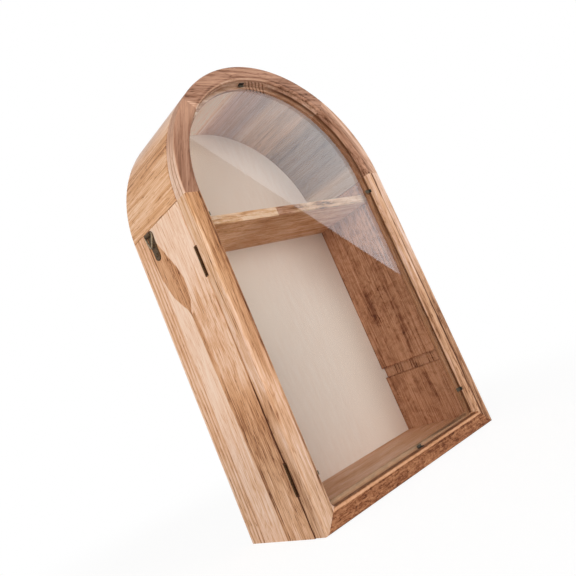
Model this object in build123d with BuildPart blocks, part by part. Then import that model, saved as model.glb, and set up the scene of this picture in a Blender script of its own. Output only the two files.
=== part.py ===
"""Arched wooden display case with a glazed, hinged door.

Frame: X across the width, Y from the front (-) to the back (+), Z up.  The origin is on
the base plane, in the middle of the width and of the overall depth.
"""

import os
from math import asin, cos, radians, sin, sqrt, tan

from build123d import *

# ---------------------------------------------------------------- sizes, millimetres

# Case carcass
case_width = 250.0
case_height = 400.0
case_depth = 82.0
wall_thickness = 13.5
bottom_thickness = 14.5
joint_rise = 3.0  # side panels end this far above the springing line of the arch
tongue_thickness = 4.5
tongue_length = 6.0
tongue_end_setback = 10.0
bottom_lap = 5.0  # how far the bottom board is let into each side panel
edge_easing = 0.5  # on the long outer edges of the case, the shelf's front and the door's back

# Back panel, let into a rebate round the back of the carcass
back_panel_thickness = 4.0
back_rebate_width = 6.0
back_panel_clearance = 0.3
brad_radius = 0.6
brad_length = 12.0
side_brad_first = 30.0
side_brad_below_shelf = 14.5
side_brad_count = 4
bottom_brad_pitch = 70.0
bottom_brad_count = 3
arch_brad_count = 6

# Shelf and grooves
shelf_thickness = 8.5
shelf_below_joint = 15.0  # top of the shelf to the top of the side panels
shelf_setback = 3.0
shelf_end_clearance = 0.2
groove_depth = 4.0
groove_clearance = 0.2
spare_groove_bottom = 75.0
spare_groove_height = 10.5

# Door frame and glass
door_thickness = 13.5
door_gap = 0.6
door_foot_clearance = 0.5
frame_bar = 16.3
bottom_bar = 14.7
opening_arch_rise = 2.0  # the opening's arc is struck from this far above the case's centre
opening_corner_radius = 5.0
outer_round = 2.0
inner_round = 2.6
arch_joint_angle = 45.0
glass_setback = 8.3
glass_thickness = 2.0
glass_clearance = 0.4
lip_width = 3.0

# Glazing clips: small bent steel angles on the wall of the opening, in front of the glass
side_clip_width = 3.2
end_clip_width = 5.6
clip_thickness = 0.8
clip_wall_leg = 3.0
side_clip_glass_leg = 6.0
end_clip_glass_leg = 2.4
clip_lower_height = 41.5
clip_upper_below_joint = 16.5
clip_top_offset = -7.5
clip_bottom_offset = 16.5
clip_nail_radius = 0.5
clip_nail_length = 5.0
clip_nail_head_radius = 0.8
clip_nail_head_height = 0.4

# Hinges
hinge_length = 24.0
hinge_leaf_width = 9.0
hinge_leaf_thickness = 0.8
hinge_knuckle_radius = 1.0
hinge_pin_radius = 0.5
hinge_pin_head_radius = 0.9
hinge_pin_head_height = 0.4
hinge_running_clearance = 0.05
hinge_knuckle_gap = 0.15
hinge_axis_outset = 0.4  # from the side face of the case
hinge_wood_clearance = 0.4
hinge_lower_height = 45.5
hinge_upper_below_joint = 52.5
hinge_screw_pitch = 14.0
hinge_screw_inset = 5.5  # from the side face of the case
hinge_screw_radius = 0.9
hinge_screw_head_radius = 1.6
hinge_screw_length = 8.0

# Magnetic catch
catch_height = 140.0
magnet_radius = 3.0
magnet_length = 4.0
catch_plate_radius = 3.5
catch_plate_thickness = 1.0

# Strap hangers and their rings
hanger_from_back = 29.6
hanger_below_joint = 4.0
strap_thickness = 1.2
strap_top_width = 8.6
strap_end_width = 7.4
strap_length = 24.0
ring_wire_radius = 0.75
ring_width = 13.4
ring_height = 14.5
ring_corner_radius = 1.6
ring_running_clearance = 0.08
ring_rest_tilt = 8.0
hanger_screw_radius = 0.9
hanger_screw_length = 9.0
hanger_screw_head_radius = 1.9
hanger_screw_head_height = 1.0
hanger_screw_end_inset = 5.0
hanger_screw_pitch = 9.0

# ---------------------------------------------------------------- derived places

half_width = case_width / 2
arch_centre_z = case_height - half_width
joint_z = arch_centre_z + joint_rise
overall_depth = door_thickness + door_gap + case_depth
door_front_y = -overall_depth / 2
door_back_y = door_front_y + door_thickness
case_front_y = door_back_y + door_gap
case_back_y = overall_depth / 2
panel_front_y = case_back_y - back_panel_thickness
inner_half_width = half_width - wall_thickness
rebate_half_width = inner_half_width + back_rebate_width
rebate_bottom_z = bottom_thickness - back_rebate_width

shelf_top_z = joint_z - shelf_below_joint
shelf_bottom_z = shelf_top_z - shelf_thickness
shelf_groove_height = shelf_thickness + groove_clearance

opening_half_width = half_width - frame_bar
opening_bottom_z = door_foot_clearance + bottom_bar
opening_centre_z = arch_centre_z + opening_arch_rise
glass_front_y = door_front_y + glass_setback
lip_front_y = glass_front_y + glass_thickness
clip_upper_z = joint_z - clip_upper_below_joint

hinge_axis_x = -half_width - hinge_axis_outset
hinge_axis_y = (door_back_y + case_front_y) / 2
hinge_centres = {"upper": joint_z - hinge_upper_below_joint, "lower": hinge_lower_height}

hanger_y = case_back_y - hanger_from_back
hanger_axis_z = joint_z - hanger_below_joint
strap_bore_radius = ring_wire_radius + ring_running_clearance
strap_fold_radius = strap_bore_radius + strap_thickness

# ---------------------------------------------------------------- helpers


def facing_front(y):
    """A plane at depth y that faces the front: its x is X and its y is Z."""
    return Plane(origin=(0, y, 0), x_dir=(1, 0, 0), z_dir=(0, -1, 0))


def arched_outline(half, bottom_z, centre_z, corner_radius=0.0):
    """Straight sides from bottom_z up to centre_z, with a half circle on top."""
    with BuildSketch() as outline:
        with BuildLine():
            Line((-half, bottom_z), (half, bottom_z))
            Line((half, bottom_z), (half, centre_z))
            ThreePointArc((half, centre_z), (0, centre_z + half), (-half, centre_z))
            Line((-half, centre_z), (-half, bottom_z))
        make_face()
        if corner_radius > 0:
            fillet(outline.vertices().sort_by(Axis.Y)[:2], corner_radius)
    return outline.sketch


def opening_outline(inset):
    """The door's opening, made smaller all round by inset, with eased lower corners."""
    return arched_outline(
        opening_half_width - inset,
        opening_bottom_z + inset,
        opening_centre_z,
        opening_corner_radius - inset,
    )


def outside_edges(end_faces):
    """The edges up the sides and over the arch that bound the given front or back faces."""
    edges = end_faces.edges()
    arcs = edges.filter_by(GeomType.CIRCLE).group_by(SortBy.RADIUS)[-1]
    sides = edges.filter_by(Axis.Z)
    return arcs + sides.group_by(Axis.X)[0] + sides.group_by(Axis.X)[-1]


def box_between(low, high, mode=Mode.ADD):
    """A box given by two opposite corners."""
    size = [high[i] - low[i] for i in range(3)]
    centre = [(high[i] + low[i]) / 2 for i in range(3)]
    with Locations(tuple(centre)):
        Box(*size, mode=mode)


def write_piece(piece, name):
    """Label a finished piece and write it as one STEP file."""
    piece.part.label = name
    export_step(piece.part, f"parts/{name}.step")


os.makedirs("parts", exist_ok=True)

# ---------------------------------------------------------------- fasteners


def flat_head_profile(radius, head_radius, length):
    """Half section of a countersunk screw, its flat head flush with the origin."""
    return [
        (0, 0),
        (head_radius, 0),
        (radius, radius - head_radius),
        (radius, radius - length),
        (0, -length),
    ]


def raised_head_profile(radius, head_radius, head_height, length):
    """Half section of a nail or screw whose head stands on the origin."""
    return [
        (0, head_height),
        (head_radius - head_height / 2, head_height),
        (head_radius, head_height / 2),
        (head_radius, 0),
        (radius, 0),
        (radius, radius - length),
        (0, -length),
    ]


def turned(profile):
    """A round part made by turning a half section about Z."""
    with BuildPart() as fastener:
        with BuildSketch(Plane.XZ):
            with BuildLine():
                Polyline(*profile, close=True)
            make_face()
        revolve(axis=Axis.Z)
    return fastener.part


hinge_screw = turned(
    flat_head_profile(hinge_screw_radius, hinge_screw_head_radius, hinge_screw_length)
)
clip_nail = turned(
    raised_head_profile(
        clip_nail_radius, clip_nail_head_radius, clip_nail_head_height, clip_nail_length
    )
)
hanger_screw = turned(
    raised_head_profile(
        hanger_screw_radius,
        hanger_screw_head_radius,
        hanger_screw_head_height,
        hanger_screw_length,
    )
)


def hinge_screw_places(face_y, outward):
    """Head planes of the screws of both hinges, on the face at face_y."""
    screw_x = -half_width + hinge_screw_inset
    places = []
    for centre_z in hinge_centres.values():
        for offset in (-hinge_screw_pitch / 2, hinge_screw_pitch / 2):
            places.append(Plane(origin=(screw_x, face_y, centre_z + offset), z_dir=(0, outward, 0)))
    return places


with BuildPart() as hinge_case_screws:
    with Locations(*hinge_screw_places(case_front_y, -1)):
        add(hinge_screw)
write_piece(hinge_case_screws, "hinge_case_screws")

with BuildPart() as hinge_door_screws:
    with Locations(*hinge_screw_places(door_back_y, 1)):
        add(hinge_screw)
write_piece(hinge_door_screws, "hinge_door_screws")


def brad_places():
    """Where the back panel is nailed: up both sides, along the base and round the arch."""
    reach = inner_half_width + back_rebate_width / 2
    base_z = bottom_thickness - back_rebate_width / 2
    side_span = shelf_bottom_z - side_brad_below_shelf - side_brad_first
    places = []
    for i in range(side_brad_count):
        z = side_brad_first + side_span * i / (side_brad_count - 1)
        places += [(-reach, z), (reach, z)]
    for i in range(bottom_brad_count):
        places.append(((i - (bottom_brad_count - 1) / 2) * bottom_brad_pitch, base_z))
    for i in range(arch_brad_count):
        angle = radians(180 * (i + 0.5) / arch_brad_count)
        places.append((reach * cos(angle), arch_centre_z + reach * sin(angle)))
    return places


with BuildPart() as back_panel_brads:
    with BuildSketch(facing_front(case_back_y)):
        with Locations(*brad_places()):
            Circle(brad_radius)
    extrude(amount=brad_length)
write_piece(back_panel_brads, "back_panel_brads")

# ---------------------------------------------------------------- hinges

leaf_root_x = hinge_axis_x + hinge_knuckle_radius + hinge_knuckle_gap
leaf_tip_x = -half_width + hinge_leaf_width
knuckle_third = hinge_length / 3
middle_knuckle_end = (knuckle_third - hinge_knuckle_gap) / 2
end_knuckle_start = (knuckle_third + hinge_knuckle_gap) / 2
door_knuckles = [(-middle_knuckle_end, middle_knuckle_end)]
case_knuckles = [(end_knuckle_start, hinge_length / 2), (-hinge_length / 2, -end_knuckle_start)]


def hinge_leaf(face_y, back_y, knuckles, bore_radius, centre_z):
    """A flat leaf between two depths, curled round the pin over the given knuckle spans."""
    low_y, high_y = sorted((face_y, back_y))
    half_length = hinge_length / 2
    box_between(
        (leaf_root_x, low_y, centre_z - half_length), (leaf_tip_x, high_y, centre_z + half_length)
    )
    for low, high in knuckles:
        with Locations((hinge_axis_x, hinge_axis_y, centre_z + (low + high) / 2)):
            Cylinder(hinge_knuckle_radius, high - low)
        box_between((hinge_axis_x, low_y, centre_z + low), (leaf_root_x, high_y, centre_z + high))
    with Locations((hinge_axis_x, hinge_axis_y, centre_z)):
        Cylinder(bore_radius, 2 * hinge_length, mode=Mode.SUBTRACT)


def cut_hinge_seats(face_y, back_y):
    """Let both leaves into a face and clear the wood round the knuckles."""
    low_y, high_y = sorted((face_y, back_y))
    half_length = hinge_length / 2
    hollow_length = hinge_length + 2 * (hinge_pin_head_height + hinge_wood_clearance)
    for centre_z in hinge_centres.values():
        box_between(
            (hinge_axis_x, low_y, centre_z - half_length),
            (leaf_tip_x, high_y, centre_z + half_length),
            mode=Mode.SUBTRACT,
        )
        with Locations((hinge_axis_x, hinge_axis_y, centre_z)):
            Cylinder(
                hinge_knuckle_radius + hinge_wood_clearance, hollow_length, mode=Mode.SUBTRACT
            )


case_leaf_back_y = case_front_y + hinge_leaf_thickness
door_leaf_front_y = door_back_y - hinge_leaf_thickness

for which, hinge_z in hinge_centres.items():
    with BuildPart() as case_leaf:
        hinge_leaf(case_front_y, case_leaf_back_y, case_knuckles, hinge_pin_radius, hinge_z)
        add(hinge_case_screws.part, mode=Mode.SUBTRACT)
    write_piece(case_leaf, f"{which}_hinge_case_leaf")

    with BuildPart() as door_leaf:
        moving_bore = hinge_pin_radius + hinge_running_clearance
        hinge_leaf(door_back_y, door_leaf_front_y, door_knuckles, moving_bore, hinge_z)
        add(hinge_door_screws.part, mode=Mode.SUBTRACT)
    write_piece(door_leaf, f"{which}_hinge_door_leaf")

    with BuildPart() as pin:
        with Locations((hinge_axis_x, hinge_axis_y, hinge_z)):
            Cylinder(hinge_pin_radius, hinge_length)
        for end in (-1, 1):
            head_z = hinge_z + end * (hinge_length + hinge_pin_head_height) / 2
            with Locations((hinge_axis_x, hinge_axis_y, head_z)):
                Cylinder(hinge_pin_head_radius, hinge_pin_head_height)
    write_piece(pin, f"{which}_hinge_pin")

# ---------------------------------------------------------------- magnetic catch

catch_x = half_width - wall_thickness / 2

with BuildPart() as catch_magnet:
    with BuildSketch(facing_front(case_front_y)):
        with Locations((catch_x, catch_height)):
            Circle(magnet_radius)
    extrude(amount=-magnet_length)
write_piece(catch_magnet, "catch_magnet")

with BuildPart() as catch_plate:
    with BuildSketch(facing_front(door_back_y)):
        with Locations((catch_x, catch_height)):
            Circle(catch_plate_radius)
    extrude(amount=catch_plate_thickness)
write_piece(catch_plate, "catch_plate")

# ---------------------------------------------------------------- strap hangers

end_radius = strap_end_width / 2


def hanger_plane(side):
    """The side face at the hanger's ring axis, facing out, with its y up."""
    origin = (side * half_width, hanger_y, hanger_axis_z)
    return Plane(origin=origin, x_dir=(0, side, 0), z_dir=(side, 0, 0))


def hanger_screw_places(side):
    """Head planes of the two screws of one hanger, on the outer face of its strap."""
    x = side * (half_width + strap_thickness)
    low_z = hanger_axis_z - strap_length + hanger_screw_end_inset
    heights = (low_z, low_z + hanger_screw_pitch)
    return [Plane(origin=(x, hanger_y, z), z_dir=(side, 0, 0)) for z in heights]


screws_of_hanger = {}
for which, side in (("left", -1), ("right", 1)):
    with BuildPart() as hanger_screws:
        with Locations(*hanger_screw_places(side)):
            add(hanger_screw)
    write_piece(hanger_screws, f"{which}_hanger_screws")
    screws_of_hanger[which] = hanger_screws.part

    fold_x = side * (half_width + strap_fold_radius)
    fold_plane = Plane(origin=(fold_x, hanger_y, hanger_axis_z), z_dir=(0, 1, 0))
    with BuildPart() as strap:
        with BuildSketch(hanger_plane(side)):
            with BuildLine():
                round_y = -strap_length + end_radius
                Line((-strap_top_width / 2, 0), (strap_top_width / 2, 0))
                Line((strap_top_width / 2, 0), (end_radius, round_y))
                ThreePointArc((end_radius, round_y), (0, -strap_length), (-end_radius, round_y))
                Line((-end_radius, round_y), (-strap_top_width / 2, 0))
            make_face()
        extrude(amount=strap_thickness)
        with BuildSketch(fold_plane):
            Circle(strap_fold_radius)
        extrude(amount=strap_top_width / 2, both=True)
        with BuildSketch(fold_plane):
            Circle(strap_bore_radius)
        extrude(amount=strap_top_width, both=True, mode=Mode.SUBTRACT)
        add(screws_of_hanger[which], mode=Mode.SUBTRACT)
    write_piece(strap, f"{which}_hanger_strap")

    tilt = radians(ring_rest_tilt)
    ring_plane = Plane(
        origin=(fold_x, hanger_y, hanger_axis_z),
        x_dir=(0, 1, 0),
        z_dir=(cos(tilt), 0, side * sin(tilt)),
    )
    with BuildPart() as ring:
        with BuildLine(ring_plane) as wire:
            FilletPolyline(
                (-ring_width / 2, 0),
                (ring_width / 2, 0),
                (0, -ring_height),
                radius=ring_corner_radius,
                close=True,
            )
        with BuildSketch(Plane(origin=wire.wire() @ 0, z_dir=wire.wire() % 0)):
            Circle(ring_wire_radius)
        sweep(path=wire.wire())
    write_piece(ring, f"{which}_hanger_ring")

# ---------------------------------------------------------------- case

with BuildPart() as carcass_shell:
    with BuildSketch(facing_front(case_back_y)):
        add(arched_outline(half_width, 0, arch_centre_z))
        add(arched_outline(inner_half_width, 0, arch_centre_z), mode=Mode.SUBTRACT)
    extrude(amount=case_depth)
    end_faces = carcass_shell.faces().filter_by(Axis.Y)
    fillet(outside_edges(end_faces), edge_easing)
    with BuildSketch(facing_front(case_back_y)):
        add(arched_outline(rebate_half_width, rebate_bottom_z, arch_centre_z))
    extrude(amount=back_panel_thickness, mode=Mode.SUBTRACT)
    add(back_panel_brads.part, mode=Mode.SUBTRACT)

tongue_x = half_width - wall_thickness / 2


def arch_tongue(side, mode=Mode.ADD):
    """The tongue under one foot of the arch, or the groove for it."""
    low = (
        side * tongue_x - tongue_thickness / 2,
        case_front_y + tongue_end_setback,
        joint_z - tongue_length,
    )
    high = (
        side * tongue_x + tongue_thickness / 2,
        panel_front_y - tongue_end_setback,
        joint_z,
    )
    box_between(low, high, mode=mode)


def cut_shelf_groove(side, bottom_z, height):
    """A groove across the inner face of one side panel, open at the front."""
    near_x, far_x = side * inner_half_width, side * (inner_half_width + groove_depth)
    box_between(
        (min(near_x, far_x), case_front_y, bottom_z),
        (max(near_x, far_x), case_back_y, bottom_z + height),
        mode=Mode.SUBTRACT,
    )


for which, side in (("left", -1), ("right", 1)):
    with BuildPart() as side_panel:
        add(carcass_shell.part)
        box_between(
            (min(0, side * half_width), case_front_y, 0),
            (max(0, side * half_width), case_back_y, joint_z),
            mode=Mode.INTERSECT,
        )
        box_between(
            (-inner_half_width - bottom_lap, case_front_y, 0),
            (inner_half_width + bottom_lap, case_back_y, bottom_thickness),
            mode=Mode.SUBTRACT,
        )
        cut_shelf_groove(side, shelf_bottom_z, shelf_groove_height)
        cut_shelf_groove(side, spare_groove_bottom, spare_groove_height)
        arch_tongue(side, mode=Mode.SUBTRACT)
        add(screws_of_hanger[which], mode=Mode.SUBTRACT)
        if side < 0:
            cut_hinge_seats(case_front_y, case_leaf_back_y)
            add(hinge_case_screws.part, mode=Mode.SUBTRACT)
        else:
            add(catch_magnet.part, mode=Mode.SUBTRACT)
    write_piece(side_panel, f"{which}_side_panel")

with BuildPart() as arch_top:
    add(carcass_shell.part)
    box_between(
        (-half_width, case_front_y, joint_z),
        (half_width, case_back_y, case_height),
        mode=Mode.INTERSECT,
    )
    for side in (-1, 1):
        arch_tongue(side)
write_piece(arch_top, "arch_top")

with BuildPart() as bottom_board:
    box_between(
        (-inner_half_width - bottom_lap, case_front_y, 0),
        (inner_half_width + bottom_lap, case_back_y, bottom_thickness),
    )
    box_between(
        (-half_width, panel_front_y, rebate_bottom_z),
        (half_width, case_back_y, bottom_thickness),
        mode=Mode.SUBTRACT,
    )
    add(back_panel_brads.part, mode=Mode.SUBTRACT)
write_piece(bottom_board, "bottom_board")

shelf_half_length = inner_half_width + groove_depth - shelf_end_clearance
with BuildPart() as shelf:
    box_between(
        (-shelf_half_length, case_front_y + shelf_setback, shelf_bottom_z),
        (shelf_half_length, panel_front_y, shelf_top_z),
    )
    fillet(shelf.edges().filter_by(Axis.X).group_by(Axis.Y)[0], edge_easing)
write_piece(shelf, "shelf")

with BuildPart() as back_panel:
    with BuildSketch(facing_front(case_back_y)):
        add(
            arched_outline(
                rebate_half_width - back_panel_clearance,
                rebate_bottom_z + back_panel_clearance,
                arch_centre_z,
            )
        )
    extrude(amount=back_panel_thickness)
    add(back_panel_brads.part, mode=Mode.SUBTRACT)
write_piece(back_panel, "back_panel")

# ---------------------------------------------------------------- glass and its clips

with BuildPart() as glass_pane:
    with BuildSketch(facing_front(lip_front_y)):
        add(opening_outline(glass_clearance))
    extrude(amount=glass_thickness)
write_piece(glass_pane, "glass_pane")


def end_clip_seats():
    """The top and bottom clips' feet on the opening's wall, with the way into the opening."""
    top_rise = sqrt(opening_half_width**2 - clip_top_offset**2)
    top_lean = asin(clip_top_offset / opening_half_width)
    return [
        ((clip_top_offset, opening_centre_z + top_rise), (-sin(top_lean), -cos(top_lean))),
        ((clip_bottom_offset, opening_bottom_z), (0, 1)),
    ]


def side_clip_seats():
    """The four side clips' feet on the opening's wall, with the way into the opening."""
    seats = []
    for side in (-1, 1):
        for height in (clip_lower_height, clip_upper_z):
            seats.append(((side * opening_half_width, height), (-side, 0)))
    return seats


def clip_planes(seats, forward=0.0, inward=0.0):
    """A plane per clip, moved off its foot; its x points forward and its normal inward."""
    planes = []
    for (x, z), (inward_x, inward_z) in seats:
        origin = (x + inward * inward_x, glass_front_y - forward, z + inward * inward_z)
        planes.append(Plane(origin=origin, x_dir=(0, -1, 0), z_dir=(inward_x, 0, inward_z)))
    return planes


def clip_legs(width, glass_leg):
    """One leg of a clip on the wall, reaching a little into it, and one on the glass."""
    Box(
        clip_wall_leg,
        width,
        2 * clip_thickness,
        align=(Align.MIN, Align.CENTER, Align.CENTER),
    )
    Box(
        clip_thickness,
        width,
        glass_leg,
        align=(Align.MIN, Align.CENTER, Align.MIN),
    )


nail_forward = (clip_wall_leg + clip_thickness) / 2
nail_seats = end_clip_seats() + side_clip_seats()
with BuildPart() as glass_clip_nails:
    with Locations(*clip_planes(nail_seats, nail_forward, clip_thickness)):
        add(clip_nail)
write_piece(glass_clip_nails, "glass_clip_nails")

with BuildPart() as glass_clips:
    with Locations(*clip_planes(end_clip_seats())):
        clip_legs(end_clip_width, end_clip_glass_leg)
    with Locations(*clip_planes(side_clip_seats())):
        clip_legs(side_clip_width, side_clip_glass_leg)
    with BuildSketch(facing_front(glass_front_y)):
        add(opening_outline(0))
    extrude(amount=clip_wall_leg, mode=Mode.INTERSECT)
    add(glass_clip_nails.part, mode=Mode.SUBTRACT)
write_piece(glass_clips, "glass_clips")

# ---------------------------------------------------------------- door frame

with BuildPart() as door_frame:
    with BuildSketch(facing_front(door_back_y)):
        add(arched_outline(half_width, door_foot_clearance, arch_centre_z))
        add(opening_outline(lip_width), mode=Mode.SUBTRACT)
    extrude(amount=door_thickness)
    with BuildSketch(facing_front(lip_front_y)):
        add(opening_outline(0))
    extrude(amount=glass_setback + glass_thickness, mode=Mode.SUBTRACT)
    front_face = door_frame.faces().sort_by(Axis.Y)[0]
    inner_edges = front_face.inner_wires()[0].edges()
    fillet(inner_edges, inner_round)
    front_face = door_frame.faces().sort_by(Axis.Y)[0]
    fillet(front_face.outer_wire().edges(), outer_round)
    back_face = door_frame.faces().sort_by(Axis.Y)[-1]
    fillet(back_face.outer_wire().edges(), edge_easing)
    cut_hinge_seats(door_back_y, door_leaf_front_y)
    add(hinge_door_screws.part, mode=Mode.SUBTRACT)
    add(catch_plate.part, mode=Mode.SUBTRACT)
    add(glass_clip_nails.part, mode=Mode.SUBTRACT)

reach = 2 * frame_bar
far = 2 * half_width
joint_slope = tan(radians(arch_joint_angle))
stile_region = [
    (opening_half_width + reach, opening_bottom_z - reach),
    (opening_half_width - reach, opening_bottom_z + reach),
    (opening_half_width - reach, joint_z),
    (opening_half_width + reach, joint_z),
]
arch_side_region = [
    (joint_rise / joint_slope, joint_z),
    (far, joint_z),
    (far, arch_centre_z + far * joint_slope),
]
door_regions = {
    "door_bottom_rail": [
        (opening_half_width + reach, opening_bottom_z - reach),
        (opening_half_width - reach, opening_bottom_z + reach),
        (-opening_half_width + reach, opening_bottom_z + reach),
        (-opening_half_width - reach, opening_bottom_z - reach),
    ],
    "door_left_stile": [(-x, z) for x, z in stile_region],
    "door_right_stile": stile_region,
    "door_arch_left": [(-x, z) for x, z in arch_side_region],
    "door_arch_right": arch_side_region,
    "door_arch_top": [
        (0, arch_centre_z),
        (far, arch_centre_z + far * joint_slope),
        (-far, arch_centre_z + far * joint_slope),
    ],
}
for name, corners in door_regions.items():
    with BuildPart() as frame_piece:
        add(door_frame.part)
        with BuildSketch(facing_front(case_front_y)):
            with BuildLine():
                Polyline(*corners, close=True)
            make_face()
        extrude(amount=overall_depth, mode=Mode.INTERSECT)
    write_piece(frame_piece, name)
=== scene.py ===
import math

import bpy
from mathutils import Matrix, Vector


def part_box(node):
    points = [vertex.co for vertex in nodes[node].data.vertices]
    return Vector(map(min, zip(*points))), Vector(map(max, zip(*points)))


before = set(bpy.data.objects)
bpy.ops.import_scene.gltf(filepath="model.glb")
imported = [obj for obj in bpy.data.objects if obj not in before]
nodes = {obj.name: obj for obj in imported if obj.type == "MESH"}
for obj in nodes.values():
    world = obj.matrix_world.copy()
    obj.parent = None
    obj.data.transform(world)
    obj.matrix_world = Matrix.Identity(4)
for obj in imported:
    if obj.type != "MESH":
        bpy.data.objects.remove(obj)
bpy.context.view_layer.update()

# The CAD nodes are the visible pieces, and this script gives them their materials. Places on the
# object are in millimetres in the shared frame, and the lamps, floor and cards are in metres.
MM = 0.001
X, Y, Z = (1, 0, 0), (0, 1, 0), (0, 0, 1)

# ---------------------------------------------------------------- places read from the frame


def box_mm(node):
    """A node's lowest and highest corners at rest, in millimetres."""
    return [[part / MM for part in corner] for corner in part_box(node)]


side_low, side_high = box_mm("left_side_panel")
door_low, door_high = box_mm("door_left_stile")
glass_low, glass_high = box_mm("glass_pane")
half_width = -side_low[0]
joint_z = side_high[2]
arch_centre_z = box_mm("arch_top")[1][2] - half_width
arch_middle_radius = half_width - 7  # about halfway through the arch's wall
door_front_y = door_low[1]
gap_y = (side_low[1] + door_high[1]) / 2
shelf_front_y = box_mm("shelf")[0][1]
glass_front_y = glass_low[1]
panel_front_y = box_mm("back_panel")[0][1]
hinge_reaches = [[end[2] for end in box_mm(pin)] for pin in ("lower_hinge_pin", "upper_hinge_pin")]

# The door's opening clears the glass by this much all round.
glass_clearance = 0.4
opening_half_width = glass_high[0] + glass_clearance
opening_bottom_z = glass_low[2] - glass_clearance
opening_centre_z = glass_high[2] + glass_clearance - opening_half_width

# The right side panel has a second groove for the shelf, between these heights.
spare_groove_low, spare_groove_high = 75.0, 85.5

# The shelf is glued up from two lengths, which meet here.
shelf_joint_x = -20.1

# ---------------------------------------------------------------- colours


def srgb(code):
    """The scene-linear colour of a hexadecimal sRGB code."""
    parts = [int(code[i : i + 2], 16) / 255 for i in (0, 2, 4)]
    linear = tuple(p / 12.92 if p <= 0.04045 else ((p + 0.055) / 1.055) ** 2.4 for p in parts)
    return linear + (1.0,)


def tinted(code, tint):
    """A colour code's linear colour, multiplied by a tint."""
    return tuple(part * by for part, by in zip(srgb(code), tint)) + (1.0,)


# Wood colours by tone, which runs from 0 where it is palest to 1 where a torch has burnt it.
PINE = [
    (0.0, "F8DCC6"), (0.2, "F0CBB0"), (0.45, "DDAB84"), (0.65, "C99368"),
    (0.8, "A4704B"), (0.9, "804D2F"), (1.0, "522B18"),
]
UMBER = [
    (0.0, "F0D7C4"), (0.2, "DEB9A0"), (0.45, "C4967A"), (0.65, "AE8269"),
    (0.8, "986C54"), (0.9, "805640"), (1.0, "563424"),
]

# ---------------------------------------------------------------- node graphs

# How deep the bump of each surface is, in metres
WOOD_RELIEF = 0.0002
METAL_RELIEF = 0.00005


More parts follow.
